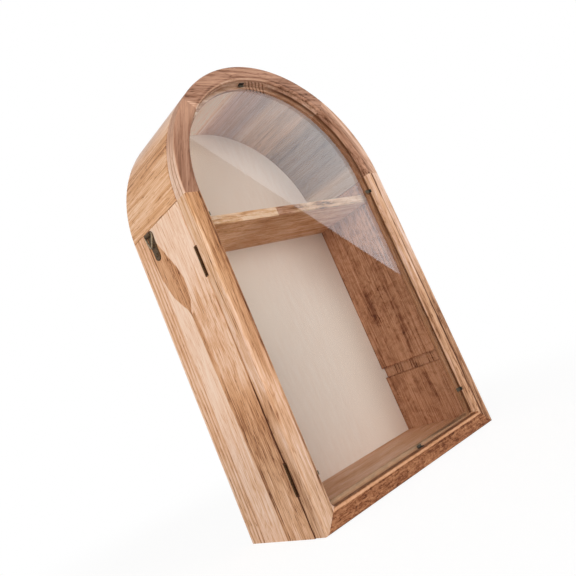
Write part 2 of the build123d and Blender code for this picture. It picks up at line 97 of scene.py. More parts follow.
class Graph:
    """The node tree of a material or a world, with short calls for the nodes used here."""

    def __init__(self, owner):
        self.owner = owner
        owner.use_nodes = True
        self.tree = owner.node_tree
        self.tree.nodes.clear()

    def put(self, socket, value):
        """Link an output to a socket, or set the socket to a plain value."""
        if isinstance(value, bpy.types.NodeSocket):
            self.tree.links.new(value, socket)
        else:
            socket.default_value = value

    def node(self, kind, inputs, **settings):
        """A shader node with its settings, and its inputs by name or number."""
        made = self.tree.nodes.new("ShaderNode" + kind)
        for key, value in settings.items():
            setattr(made, key, value)
        for key, value in inputs.items():
            self.put(made.inputs[key], value)
        return made

    def math(self, operation, *values):
        return self.node("Math", dict(enumerate(values)), operation=operation).outputs[0]

    def add(self, a, b):
        return self.math("ADD", a, b)

    def subtract(self, a, b):
        return self.math("SUBTRACT", a, b)

    def times(self, product, *factors):
        for factor in factors:
            product = self.math("MULTIPLY", product, factor)
        return product

    def scaled(self, value, factor, shift=0.0):
        return self.math("MULTIPLY_ADD", value, factor, shift)

    def inverse(self, mask):
        """0 where the mask is 1, and 1 where it is 0."""
        return self.scaled(mask, -1.0, 1.0)

    def hypotenuse(self, a, b):
        return self.math("SQRT", self.add(self.times(a, a), self.times(b, b)))

    def sine(self, value, wavelength):
        return self.math("SINE", self.scaled(value, 2 * math.pi / wavelength))

    def step(self, value, low, high, to_low=0.0, to_high=1.0):
        """Goes smoothly from to_low to to_high as the value goes from low to high."""
        inputs = {"Value": value, 1: low, 2: high, 3: to_low, 4: to_high}
        return self.node("MapRange", inputs, interpolation_type="SMOOTHSTEP").outputs[0]

    def fall(self, value, low, high):
        """Goes smoothly from 1 to 0 as the value goes from low to high."""
        return self.step(value, low, high, 1.0, 0.0)

    def axes(self, vector):
        """A vector's x, y and z."""
        return self.node("SeparateXYZ", {0: vector}).outputs[:3]

    def vector(self, x, y, z):
        return self.node("CombineXYZ", {0: x, 1: y, 2: z}).outputs[0]

    def dot(self, a, b):
        return self.node("VectorMath", {0: a, 1: b}, operation="DOT_PRODUCT").outputs["Value"]

    def stretched(self, vector, scales):
        """A vector multiplied by a scale on each axis."""
        return self.node("VectorMath", {0: vector, 1: scales}, operation="MULTIPLY").outputs[0]

    def object_mm(self):
        """The point on the object, in millimetres in the frame."""
        inputs = {0: self.node("TexCoord", {}).outputs["Object"], "Scale": 1 / MM}
        return self.node("VectorMath", inputs, operation="SCALE").outputs[0]

    def noise(self, vector, detail=2.0, roughness=0.5, distortion=0.0):
        inputs = {"Vector": vector, "Scale": 1.0, "Detail": detail}
        inputs.update({"Roughness": roughness, "Distortion": distortion})
        return self.node("TexNoise", inputs).outputs["Fac"]

    def ramp(self, value, stops, interpolation="LINEAR"):
        """A colour ramp through (position, colour or grey level) stops."""
        made = self.node("ValToRGB", {"Fac": value})
        made.color_ramp.interpolation = interpolation
        elements = made.color_ramp.elements
        while len(elements) < len(stops):
            elements.new(0.5)
        for element, (position, colour) in zip(elements, sorted(stops)):
            element.position = position
            element.color = colour if isinstance(colour, tuple) else (colour,) * 3 + (1.0,)
        return made.outputs["Color"]

    def mix(self, factor, a, b, blend="MIX"):
        """Colour a where the factor is 0, and its blend with colour b where it is 1."""
        inputs = {0: factor, 6: a, 7: b}  # the mix node numbers its colour sockets 6 and 7
        settings = {"data_type": "RGBA", "blend_type": blend, "clamp_factor": True}
        return self.node("Mix", inputs, **settings).outputs[2]

    def bump(self, height, distance, strength):
        inputs = {"Height": height, "Distance": distance, "Strength": strength}
        return self.node("Bump", inputs).outputs[0]

    def mix_shaders(self, factor, a, b):
        inputs = {0: factor, 1: a.outputs[0], 2: b.outputs[0]}
        return self.node("MixShader", inputs)

    def finish(self, shader, output="OutputMaterial"):
        """Put the shader on the surface, and return the material or world."""
        self.node(output, {"Surface": shader.outputs[0]})
        return self.owner

    def finish_principled(self, inputs):
        return self.finish(self.node("BsdfPrincipled", inputs))


def new_material(name):
    """The empty graph of a new material."""
    return Graph(bpy.data.materials.new(name))


def dress(material, *names):
    """Give CAD nodes a material."""
    for name in names:
        for entry in nodes[name].material_slots:
            entry.material = material


# ---------------------------------------------------------------- wood

# A course's results lie within half of this from zero.
COURSE_SPAN = 400.0

# The distance between growth rings, how far they wander, and how many veins cross the noise
RING_PITCH = 5.0
RING_WARP = 20.0
VEIN_LEVELS = 18

# The mean levels of three figures, taken off them so that they leave a wood's base tone alone
RING_MEAN = 0.35
VEIN_MEAN = 0.3
PORE_MEAN = 0.2

WOOD_LOOKS = {
    # How far each figure moves the tone
    "ring": 0.12,
    "fibre": 0.22,
    "vein": 0.24,
    "streak": 0.2,
    "cloud": 0.2,
    "pores": 0.16,
    "curl": 0.0,
    # A fibre's size along and across the grain
    "length": 26,
    "width": 1.4,
    # Where the growth rings are centred, across the board and through it
    "pith": (40, 60),
    "bent": False,
    "tint": (1, 1, 1),
    "washes": None,
}


class Board:
    """A board's coordinates in millimetres: along the grain, across its face, through it."""

    def __init__(self, graph, along, across):
        self.graph = graph
        place = graph.object_mm()
        self.x, self.y, self.z = graph.axes(place)
        self.along = graph.dot(place, along)
        self.across = graph.dot(place, across)
        self.through = graph.dot(place, tuple(Vector(along).cross(Vector(across))))

    def bend_round_arch(self):
        """Lay the board round the arch: across runs along the arc, and through is the radius."""
        g = self.graph
        rise = g.add(self.z, -arch_centre_z)
        self.across = g.times(g.math("ARCTAN2", rise, self.x), half_width)
        self.through = g.hypotenuse(rise, self.x)

    def arch_degrees(self):
        """On a bent board, the angle round the arch from its right foot."""
        return self.graph.scaled(self.across, 180 / math.pi / half_width)

    def depth(self):
        """The distance behind the door's front face."""
        return self.graph.add(self.y, -door_front_y)

    def stretched(self, along_mm, across_mm, seed):
        """Coordinates for a texture whose features have about these sizes."""
        g = self.graph
        return g.vector(
            g.scaled(self.along, 1 / along_mm, seed),
            g.scaled(self.across, 1 / across_mm, seed * 1.7),
            g.scaled(self.through, 1 / across_mm, seed * 2.3),
        )

    def within(self, value, low, high, soft):
        """1 where low < value < high, with soft edges; low or high may follow another value."""
        g = self.graph
        above = g.step(g.subtract(value, low), -soft, soft)
        below = g.fall(g.subtract(value, high), -soft, soft)
        return g.times(above, below)

    def course(self, value, points):
        """A smooth function of a value, near its (value, result) points."""
        g = self.graph
        low, high = points[0][0], points[-1][0]
        span = high - low
        stops = [((at - low) / span, result / COURSE_SPAN + 0.5) for at, result in points]
        smooth = g.ramp(g.scaled(value, 1 / span, -low / span), stops, "CARDINAL")
        return g.scaled(smooth, COURSE_SPAN, -COURSE_SPAN / 2)

    def line(self, centre, value, width, soft=0.4):
        """A thin line where a value comes near a centre."""
        g = self.graph
        away = g.math("ABSOLUTE", g.subtract(value, centre))
        return g.fall(away, width / 2 - soft, width / 2 + soft)

    def streaky(self, value, amount):
        """A value along the grain whose steps break up into streaks."""
        g = self.graph
        drift = g.noise(self.stretched(220, 2.4, 41), detail=3.0, roughness=0.6)
        return g.add(value, g.scaled(drift, 5 * amount, -2.5 * amount))

    def wavy(self, value, amount, along_mm=45, across_mm=14, seed=0.0):
        """A value that wanders by less than an amount, in waves of about these sizes."""
        g = self.graph
        drift = g.noise(self.stretched(along_mm, across_mm, seed + 31), detail=2.0)
        return g.add(value, g.scaled(drift, 2 * amount, -amount))

    def rings(self, pith, seed):
        """The dark late wood of growth rings about a pith."""
        g = self.graph
        profile = [(0.0, 0.1), (0.4, 0.0), (0.8, 0.75), (0.93, 1.0), (1.0, 0.1)]
        slow = g.noise(self.stretched(150, 30, seed), detail=3.0)
        radius = g.hypotenuse(g.add(self.across, -pith[0]), g.add(self.through, -pith[1]))
        radius = g.add(radius, g.scaled(slow, RING_WARP))
        return g.ramp(g.math("FRACT", g.scaled(radius, 1 / RING_PITCH)), profile)

    def veins(self, seed):
        """Dark veins that run like a hill's contours, and fade out here and there."""
        g = self.graph
        profile = [(0.0, 0.15), (0.3, 0.0), (0.62, 0.2), (0.82, 1.0), (0.92, 0.7), (1.0, 0.15)]
        levels = g.noise(self.stretched(95, 8, seed + 13), detail=2.5, roughness=0.45)
        levels = g.math("FRACT", g.scaled(levels, VEIN_LEVELS))
        clear = g.noise(self.stretched(45, 9, seed + 17), detail=2.0)
        return g.times(g.ramp(levels, profile), g.step(clear, 0.38, 0.62, 0.25, 1.0))


def wood(name, along, across, palette, marks, base, seed, **looks):
    """Torched softwood, with figure all over and then the board's own marks and washes.

    Marks are (mask, change of tone), and washes are (mask, colour, blend) laid over the colour.
    """
    look = {**WOOD_LOOKS, **looks}
    g = new_material(name)
    board = Board(g, along, across)
    if look["bent"]:
        board.bend_round_arch()

    def figure(along_mm, across_mm, shift, low, high, **kind):
        """Noise at these sizes, spread from -0.5 to 0.5."""
        noise = g.noise(board.stretched(along_mm, across_mm, seed + shift), **kind)
        return g.step(noise, low, high, -0.5, 0.5)

    late = board.rings(look["pith"], seed)
    rough = {"detail": 4.0, "roughness": 0.7, "distortion": 0.4}
    fibres = figure(look["length"], look["width"], 2, 0.33, 0.67, **rough)
    veins = board.veins(seed)
    streaks = figure(150, 3.0, 4, 0.3, 0.7, detail=3.0, roughness=0.6)
    clouds = figure(80, 17, 7, 0.28, 0.72, detail=3.0, roughness=0.55)
    pores = g.step(g.noise(board.stretched(9, 0.8, seed + 9), detail=1.5), 0.58, 0.74)

    tone = g.scaled(late, look["ring"], base - RING_MEAN * look["ring"])
    tone = g.add(tone, g.scaled(fibres, look["fibre"]))
    tone = g.add(tone, g.scaled(veins, look["vein"], -VEIN_MEAN * look["vein"]))
    tone = g.add(tone, g.scaled(streaks, look["streak"]))
    tone = g.add(tone, g.scaled(clouds, look["cloud"]))
    tone = g.add(tone, g.scaled(pores, look["pores"], -PORE_MEAN * look["pores"]))
    if look["curl"]:
        curls = figure(9, 12, 11, 0.35, 0.7, detail=3.0, distortion=1.4)
        tone = g.add(tone, g.scaled(curls, look["curl"]))
    for mask, change in marks(board):
        tone = g.add(tone, g.scaled(mask, change))

    colour = g.ramp(tone, [(at, tinted(code, look["tint"])) for at, code in palette])
    if look["washes"]:
        for mask, shade, blend in look["washes"](board):
            colour = g.mix(mask, colour, shade, blend)

    height = g.add(g.scaled(fibres, -0.6), g.scaled(late, -0.25))
    height = g.add(height, g.scaled(g.add(pores, veins), -0.4))
    return g.finish_principled({
        "Base Color": colour,
        "Roughness": g.scaled(fibres, 0.12, 0.6),
        "Specular IOR Level": 0.25,
        "Normal": g.bump(height, WOOD_RELIEF, 0.8),
    })


def stain(mask, red, green, blue):
    """A wash that multiplies the wood's colour."""
    return mask, (red, green, blue, 1.0), "MULTIPLY"


def coat(mask, code):
    """A wash that covers the wood with a colour."""
    return mask, srgb(code), "MIX"


def only_where(place, board, marks):
    """Marks that show only where a mask does."""
    return [(board.graph.times(mask, place), change) for mask, change in marks]


# ---------------------------------------------------------------- marks on several boards

# The marks are placed where the photograph shows them: x from the middle of the case,
# z above the floor, the depth behind the door's front, and the distance from the door's opening.


def gap_shadow(board, strength):
    """The dark line of the gap between the door and the case, deepest low down."""
    g = board.graph
    low = g.step(board.z, 150, 215, 1.0, 0.25)
    rise = g.math("MAXIMUM", g.add(board.z, -arch_centre_z), 0.0)
    reach = g.hypotenuse(rise, board.x)
    deep = g.math("MINIMUM", g.scaled(reach, -1.0, half_width), board.z)
    skin = g.times(low, g.fall(deep, 0.4, 1.3))
    return g.times(board.line(gap_y, board.y, width=1.5, soft=0.45), skin), strength


def joint_shadow(board, strength):
    """The thin dark line where the arch stands on the side panels."""
    return board.line(joint_z, board.z, width=0.9, soft=0.35), strength


def hinge_pocket_shade(board, strength):
    """Painted shade at the edges of the pockets that the hinges' knuckles stand in."""
    g = board.graph
    side = g.fall(board.x, -half_width + 0.3, -half_width + 1.2)
    across = g.times(side, board.line(gap_y, board.y, width=4.4, soft=0.3))
    play = 0.8  # above and below each knuckle
    heights = [
        board.within(board.z, low - play, high + play, soft=0.2) for low, high in hinge_reaches
    ]
    return g.times(across, g.add(*heights)), strength


def foot_washes(board):
    """Towards the floor the wood is greyer."""
    return [stain(board.graph.fall(board.z, 40, 120), 0.99, 1.11, 1.27)]


# ---------------------------------------------------------------- the case's boards


def left_side_marks(board):
    """A burnt flame on a thin tail, torch marks round them, and partly painted shade in front."""
    g = board.graph
    y = board.depth()
    z = board.z
    wavy_y = board.wavy(y, 1.6, 26, 12)
    fine_y = board.wavy(y, 0.7, 40, 14)
    streaky_z = board.streaky(z, 22)

    # The flame, between two curves, and a dark rim along its front
    left_curve = [(190, 52), (197, 51.5), (207, 46), (232, 46.5), (262, 61), (290, 66)]
    right_curve = [(190, 53), (196, 54.5), (203, 59), (214, 67), (234, 74.5), (290, 77)]
    flame_left = board.course(z, left_curve)
    flame = board.within(wavy_y, flame_left, board.course(z, right_curve), soft=0.7)
    flame = g.times(flame, g.step(z, 192, 196))
    rim = board.within(wavy_y, flame_left, g.add(flame_left, 3.5), soft=1.2)
    rim = g.times(rim, board.within(z, 196, 235, soft=8))

    # Its tail, down to the floor
    tail_y = board.course(z, [(0, 45), (80, 47.5), (140, 49.5), (196, 50.6)])
    under_flame = g.fall(z, 193, 197)
    tail = g.times(board.line(tail_y, fine_y, width=4.2, soft=0.8), under_flame)
    tail_edge = g.times(board.line(g.add(tail_y, 2.3), fine_y, width=1.1, soft=0.5), under_flame)

    # In front of the tail: squiggles halfway up, and below them torching and painted shade
    front_zone = g.fall(g.subtract(wavy_y, tail_y), -2.5, -1.0)
    middle = g.times(front_zone, board.within(streaky_z, 128, 206, soft=16))
    squiggles = g.noise(board.stretched(14, 2.0, 27.0), detail=2.0, distortion=0.8)
    squiggles = g.times(middle, g.step(squiggles, 0.42, 0.62, -0.3, 0.7))
    heat_and_shade_curve = [(-20, 22), (40, 34), (86, 44), (112, 38), (142, 0)]
    heat_and_shade = g.times(front_zone, board.course(board.streaky(z, 9), heat_and_shade_curve))

    # Behind it: a low band, and stripes along the back edge
    band = g.times(board.within(wavy_y, g.add(tail_y, 3.5), 75, soft=1.2), g.fall(z, 30, 130))
    edge = g.step(wavy_y, 73.5, 77)
    stripes = g.sine(board.wavy(y, 1.2, 90, 30, 5.0), 4.8)
    stripes = g.times(g.step(stripes, -0.6, 0.9), edge)

    # The whole side is darker towards the floor
    low = g.fall(streaky_z, 60, 150)
    return [
        (flame, 0.5),
        (rim, 0.07),
        (tail, 0.5),
        (tail_edge, 0.14),
        (middle, 0.2),
        (squiggles, 0.2),
        (heat_and_shade, 0.01),
        (low, 0.13),
        (band, 0.14),
        (edge, 0.12),
        (stripes, 0.24),
        gap_shadow(board, 0.5),
        hinge_pocket_shade(board, 0.95),
        joint_shadow(board, 0.25),
    ]


def arch_marks(board):
    """Outside, scorched over the left foot; inside, a grey sector and one of painted light."""
    g = board.graph
    radius, angle = board.through, board.arch_degrees()
    wavy_angle = board.wavy(angle, 1.4, 60, 10)
    outside = g.step(radius, arch_middle_radius - 1, arch_middle_radius + 1)
    inside = g.inverse(outside)
    line = g.times(board.line(164, wavy_angle, width=1.0, soft=0.35), g.step(board.depth(), 40, 56))
    shade = board.within(wavy_angle, 148.5, 158, soft=2.0)
    torched = g.step(wavy_angle, 170, 179)
    crown = board.within(wavy_angle, 95, 138, soft=7.0)
    grey = board.within(wavy_angle, 10, 60, soft=6.0)
    # The pale sector inside is painted light, where the inside of the arch is in shade
    pale = board.within(wavy_angle, 96, 135, soft=6.0)
    outer_marks = [(line, 0.35), (shade, 0.24), (torched, 0.16), (crown, 0.1)]
    return [
        *only_where(outside, board, outer_marks),
        *only_where(inside, board, [(grey, 0.26), (pale, -0.38)]),
        gap_shadow(board, 0.4),
        joint_shadow(board, 0.4),
    ]


def arch_washes(board):
    """Outside, a painted sheen on the crown; inside, grey in broad bands at the right."""
    g = board.graph
    angle = board.arch_degrees()
    inside = g.fall(board.through, arch_middle_radius - 1, arch_middle_radius + 1)
    outside = g.inverse(inside)
    grey = g.step(board.wavy(angle, 5.0, 60, 14), 66, 98, 1.0, 0.2)
    bands = g.noise(board.stretched(140, 13, 8.0), detail=2.0)
    bands = g.times(g.step(bands, 0.42, 0.6), g.times(inside, grey))
    tan = g.times(inside, g.step(board.wavy(angle, 3.0, 80, 12), 96, 112))
    drifting = board.wavy(angle, 2.5, 90, 12)
    # A painted sheen on the outside, over the crown
    painted_sheen = g.scaled(board.within(drifting, 100, 139, soft=9.0), 0.62)
    calm = g.times(inside, g.step(angle, 70, 95, 0.5, 0.2))

    def sector(low, high):
        """The inside of the arch between two angles."""
        return g.times(inside, board.within(drifting, low, high, soft=4.0))

    return [
        coat(calm, "C4956F"),
        stain(g.times(outside, g.step(drifting, 140, 160)), 0.98, 0.95, 0.88),
        coat(g.times(painted_sheen, outside), "EFDFD6"),
        stain(g.times(inside, grey), 0.74, 0.86, 0.98),
        stain(g.scaled(bands, 0.3), 0.62, 0.7, 0.85),
        coat(g.scaled(tan, 0.3), "D9A878"),
        stain(sector(12, 44), 0.68, 0.72, 0.86),
        stain(sector(46, 70), 1.34, 1.36, 1.46),
        stain(sector(70, 91), 1.08, 1.1, 1.36),
        # Inside, the upper left is made lighter and bluer as painted light
        stain(sector(90, 135), 1.42, 1.62, 1.82),
    ]


def right_side_marks(board):
    """Inside: dark spindles, curly figure, the spare groove, painted shade in the back corner."""
    g = board.graph
    y = board.depth()
    z = board.z
    inside = g.fall(board.x, half_width - 6, half_width - 4)
    wavy_y = board.wavy(y, 1.5)
    spindle = board.within(board.wavy(y, 1.2), 66, 76, soft=2.0)
    spindle = g.times(spindle, board.within(z, 133, 170, soft=9))
    dark = g.times(board.within(wavy_y, 37, 45, soft=2.5), board.within(z, 95, 205, soft=12))
    streak = g.times(board.within(wavy_y, 38, 44, soft=1.5), board.within(z, 36, 72, soft=8))
    figure = g.noise(board.stretched(7, 10, 21.0), detail=3.0, distortion=1.6)
    figure = g.times(g.step(figure, 0.5, 0.68), board.within(y, 42, 70, soft=6.0))
    figure = g.times(figure, board.within(z, 115, 195, soft=12))
    groove_ends = (spare_groove_low - 0.4, spare_groove_high + 0.4)
    groove = board.within(z, *groove_ends, soft=0.3)
    edges = g.add(*[board.line(end, z, width=1.0, soft=0.4) for end in groove_ends])
    # Painted shade in the corner where the side meets the back panel
    corner = board.line(panel_front_y, board.y, width=1.6, soft=0.6)
    notch = g.noise(board.stretched(50, 2.6, 17.0), detail=1.0)
    notch = g.times(g.step(notch, 0.6, 0.66), groove)
    inner_marks = [
        (spindle, 0.14),
        (dark, 0.1),
        (streak, 0.12),
        (figure, 0.1),
        (groove, -0.06),
        (notch, 0.25),
        (edges, 0.12),
        (corner, 0.15),
    ]
    return [
        *only_where(inside, board, inner_marks),
        gap_shadow(board, 0.4),
        joint_shadow(board, 0.25),
    ]


def floor_marks(board):
    """The bottom board is a little darker to the right."""
    return [(board.graph.step(board.x, -60, 80), 0.08), gap_shadow(board, 0.4)]


def shelf_places(board):
    """Masks of the shelf's right length, its front edge, and the faces behind that."""
    g = board.graph
    right = g.step(board.x, shelf_joint_x - 0.2, shelf_joint_x + 0.2)
    front = g.fall(board.y, shelf_front_y + 0.6, shelf_front_y + 1.2)
    return right, front, g.inverse(front)


def shelf_marks(board):
    """The front edge is darker right of the joint, and the shelf is burnt underneath."""
    g = board.graph
    right, front, behind = shelf_places(board)
    near_joint = g.times(right, g.fall(board.x, 2, 22))
    burnt = g.times(behind, g.times(g.fall(board.x, -40, 10), g.fall(board.y, -12, 10)))
    streak = board.line(26, board.wavy(board.y, 3.0), width=5.0, soft=2.0)
    streak = g.times(g.step(board.x, 10, 50), streak)
    return [
        (g.times(near_joint, front), 0.1),
        (g.times(right, front), 0.14),
        (g.times(g.step(board.x, 20, 50), front), 0.14),
        (burnt, 0.16),
        (g.times(streak, behind), 0.2),
    ]


def shelf_washes(board):
    """The front edge is greyer right of the joint, and the wood underneath is dark and yellow."""
    g = board.graph
    right, front, behind = shelf_places(board)
    joint = g.times(right, front, g.fall(board.x, -8, 12))
    left = g.fall(board.wavy(board.x, 4.0), -58, -24)
    deep = g.times(behind, g.inverse(left), g.step(board.x, 0, 30, 1.0, 0.6))
    return [
        stain(g.times(right, front), 0.9, 0.98, 1.1),
        stain(joint, 0.82, 0.7, 0.72),
        stain(g.times(behind, left), 1.1, 1.07, 0.96),
        stain(deep, 0.84, 0.72, 0.58),
    ]


# ---------------------------------------------------------------- the door's boards


def from_opening(board):
    """The distance outward from the wall of the door's opening."""
    g = board.graph
    rise = g.math("MAXIMUM", g.add(board.z, -opening_centre_z), 0.0)
    beside = g.add(g.hypotenuse(rise, board.x), -opening_half_width)
    return g.math("MAXIMUM", beside, g.scaled(board.z, -1.0, opening_bottom_z))


def frame_marks(board, rim=0.2, lip=0.2, rim_at=2.8):
    """Torching left in a rim just outside the opening, and on the inside of the lip."""
    g = board.graph
    away = from_opening(board)
    y = board.depth()
    lip_side = g.times(g.fall(away, 0.6, 1.0), g.step(y, 10.8, 11.2))
    front = g.fall(y, 1.0, 1.8)
    torched = g.times(front, board.line(rim_at, board.wavy(away, 0.25, 30, 8), width=1.9, soft=0.6))
    patchy = g.noise(board.stretched(60, 30, 13.0), detail=2.0)
    torched = g.times(torched, g.step(patchy, 0.3, 0.6, 0.4, 1.0))
    return [(lip_side, lip), (torched, rim), gap_shadow(board, 0.5)]


def frame_washes(board, only_right=False):
    """The dark stain beside the glass, on the opening's wall and the front of the lip."""
    g = board.graph
    y = board.depth()
    wall = g.fall(from_opening(board), 0.5, 0.9)
    dark = g.times(wall, board.within(board.wavy(y, 0.4, 40, 8), 6.9, 9.3, soft=0.4))
    worn = g.times(wall, g.step(y, 9.0, 9.6))
    if only_right:
        dark, worn = [g.times(mask, g.step(board.x, 12, 45)) for mask in (dark, worn)]
    return [coat(g.scaled(worn, 0.55), "9C6A48"), coat(g.scaled(dark, 0.9), "5E3722")]


def arch_top_washes(board):
    """On the top piece the stains show only at the right."""
    return frame_washes(board, only_right=True)


def rail_washes(board):
    """The rail's stain beside the glass, worn at its edge, and its pale face below."""
    g = board.graph
    away = from_opening(board)
    y = board.depth()
    at_wall = g.step(away, -0.9, -0.6)
    beside = g.fall(away, 0.5, 0.9)
    dark = g.times(at_wall, board.within(y, 1.6, 7.2, soft=0.4), beside)
    worn = g.times(at_wall, g.step(y, 6.8, 7.8), beside)
    pale = g.times(g.fall(away, -0.9, -0.6), g.step(board.x, 10, 75, 0.5, 0.15))
    return [
        coat(g.scaled(worn, 0.7), "D9AE8A"),
        coat(g.scaled(dark, 0.7), "6A4228"),
        coat(pale, "E8C6A6"),
    ]


def left_stile_washes(board):
    """The frame's stains, greyer wood near the floor and yellower wood near the arch."""
    high = board.graph.step(board.z, 150, 230)
    return [*frame_washes(board), *foot_washes(board), stain(high, 0.97, 0.95, 0.87)]


def left_stile_marks(board):
    """On its outer side, a pair of wavy lines above a dark band; the front is darker high up."""
    g = board.graph
    y = board.depth()
    z = board.z
    side = g.fall(board.x, -half_width + 1.2, -half_width + 2.4)
    front = g.inverse(side)
    streaky_z = board.streaky(z, 12)
    wave = [(120, 5.5), (160, 2.8), (200, 4.6), (225, 2.6), (250, 1.2), (276, 0.6)]
    wave = board.course(z, wave)
    first_line = board.line(wave, y, width=0.7, soft=0.35)
    second_line = board.line(g.add(wave, 2.2), y, width=0.6, soft=0.35)
    pair = g.times(g.add(first_line, second_line), side, g.step(z, 140, 170))
    # The band is partly torching and partly painted shade
    torched = g.times(side, board.within(streaky_z, 88, 118, soft=12))
    foot = g.times(side, g.fall(streaky_z, 60, 100), g.step(streaky_z, 0, 60, 0.5, 1.0))
    by_gap = g.step(board.wavy(y, 0.8, 60, 8), 4.5, 7.5)
    by_gap = g.times(side, by_gap, g.fall(streaky_z, 45, 110))
    high = g.times(front, g.step(z, 110, 150))
    low = g.times(front, g.fall(z, 70, 130))
    return [
        *frame_marks(board, rim=0.25),
        (side, -0.1),
        (pair, 0.32),
        (torched, 0.3),
        (foot, 0.22),
        (by_gap, 0.2),
        (high, 0.2),
        (low, 0.06),
        hinge_pocket_shade(board, 0.85),
    ]


def right_stile_marks(board):
    """Paler on the wall of the opening and high on the outer front, darker towards the floor."""
    g = board.graph
    away = from_opening(board)
    y = board.depth()
    outer = g.times(g.fall(y, 2.2, 3.0), g.step(board.wavy(away, 0.8, 50, 8), 3.0, 4.6))
    high = g.step(board.wavy(board.z, 14), 120, 215)
    wall = g.times(g.fall(away, 2.4, 3.0), g.fall(y, 6.6, 7.2))
    low = g.fall(board.streaky(board.z, 12), 70, 190)
    return [
        *frame_marks(board, rim=0.34, rim_at=5.0),
        (g.times(outer, high), -0.1),
        (wall, -0.1),
        (low, 0.1),
    ]


def rail_marks(board):
    """Scorched on the front, with a painted highlight on the roundover of the opening."""
    g = board.graph
    away = from_opening(board)
    front = g.fall(board.y, door_front_y + 2.0, door_front_y + 2.8)
    top = g.fall(board.y, door_front_y + 2.6, door_front_y + 3.2)
    # A painted highlight along the roundover of the opening
    roundover_highlight = g.times(board.within(away, 0.6, 2.5, soft=0.4), top)
    scorch = g.noise(board.stretched(3.4, 1.7, 23.0), detail=3.0, distortion=1.0)
    scorch = g.times(g.step(scorch, 0.45, 0.7), front)
    return [*frame_marks(board, rim=0.04, lip=-0.1), (roundover_highlight, -0.31), (scorch, 0.12)]


def arch_left_marks(board):
    """Its outer side is pale with two dark lines, and its front is paler towards the top."""
    g = board.graph
    y = board.depth()
    drift = g.scaled(g.noise(board.stretched(50, 60, 3.0), detail=1.0), 8, -4)
    side = g.step(from_opening(board), 14.8, 15.9)
    lines = [board.line(g.add(drift, at), y, width) for at, width in ((3.4, 0.9), (7.6, 0.8))]
    high = g.step(g.add(board.z, g.scaled(board.x, 0.5)), 270, 315)
    return [
        *frame_marks(board, rim=0.08),
        (side, -0.62),
        (g.times(g.add(*lines), side), 0.45),
        (g.times(high, g.inverse(side)), -0.2),
    ]


def arch_top_marks(board):
    """A pale left end and inner edge, with a short row of burns on the wall of the opening."""
    g = board.graph
    away = from_opening(board)
    y = board.depth()
    corner = g.add(g.scaled(board.x, -1.0), g.scaled(board.z, -1.0, arch_centre_z))
    pale_end = board.within(board.wavy(corner, 1.0), g.scaled(away, 0.9, -11.0), 1.0, soft=1.2)
    pale_end = g.times(pale_end, g.fall(away, 9.0, 12.0))
    # The pale inner edge is a painted highlight along the roundover
    roundover_highlight = g.times(board.within(away, 0.4, 1.5, soft=0.4), g.fall(y, 2.0, 3.0))
    roundover_highlight = g.times(roundover_highlight, g.step(board.x, -20, 50, 1.0, 0.2))
    wall = g.times(g.fall(away, 0.3, 0.7), g.step(y, 2.8, 3.6))
    slant = g.add(board.x, g.scaled(y, -0.8))
    burns = g.step(g.sine(board.wavy(slant, 1.2, 8, 3), 4.3), 0.2, 0.75)
    burns = g.times(burns, board.within(slant, -8, 16, soft=2.0), wall)
    return [
        *frame_marks(board, rim=0.12),
        (pale_end, -0.34),
        (roundover_highlight, -0.26),
        (wall, -0.32),
        (burns, 0.46),
    ]


def arch_right_marks(board):
    """Its front is paler away from the opening."""
    g = board.graph
    outer = g.step(board.wavy(from_opening(board), 0.8, 40, 8), 5.5, 9.0)
    outer = g.times(g.fall(board.depth(), 2.2, 3.0), outer)
    return [*frame_marks(board, rim=0.26), (outer, -0.3)]


# ---------------------------------------------------------------- the wood of each board


def dress_case():
    """Each board's grain runs along its first axis, and its face spans the second."""
    left_side = wood(
        "left_side_wood", Z, Y, PINE, left_side_marks, base=0.215, seed=2.0, pith=(62, 30),
        tint=(1.0, 0.975, 0.955), washes=foot_washes,
        ring=0.04, fibre=0.3, streak=0.1, cloud=0.1, pores=0.28,
    )
    right_side = wood(
        "right_side_wood", Z, Y, PINE, right_side_marks, base=0.755, seed=3.0, pith=(20, -70),
        tint=(0.92, 0.92, 1.08),
        ring=0.05, fibre=0.15, vein=0.08, streak=0.12, cloud=0.09, pores=0.06, curl=0.1,
    )
    arch = wood(
        "arch_wood", Y, X, PINE, arch_marks, base=0.435, seed=4.0, pith=(0, 0), bent=True,
        tint=(1.0, 0.985, 0.96), washes=arch_washes,
        ring=0.0, fibre=0.34, length=70, width=1.5, streak=0.22, cloud=0.16, pores=0.34,
    )
    floor_board = wood(
        "floor_wood", X, Y, PINE, floor_marks, base=0.43, seed=5.0, pith=(0, -90),
        tint=(0.95, 0.97, 1.03),
        ring=0.06, fibre=0.26, vein=0.1, streak=0.1,
    )
    shelf = wood(
        "shelf_wood", X, Y, PINE, shelf_marks, base=0.36, seed=6.0, pith=(0, -90),
        tint=(1.0, 0.98, 0.94), washes=shelf_washes,
        fibre=0.4, width=3.4, pores=0.2, curl=0.12,
    )
    dress(left_side, "left_side_panel")
    dress(right_side, "right_side_panel")
    dress(arch, "arch_top")
    dress(floor_board, "bottom_board")
    dress(shelf, "shelf")


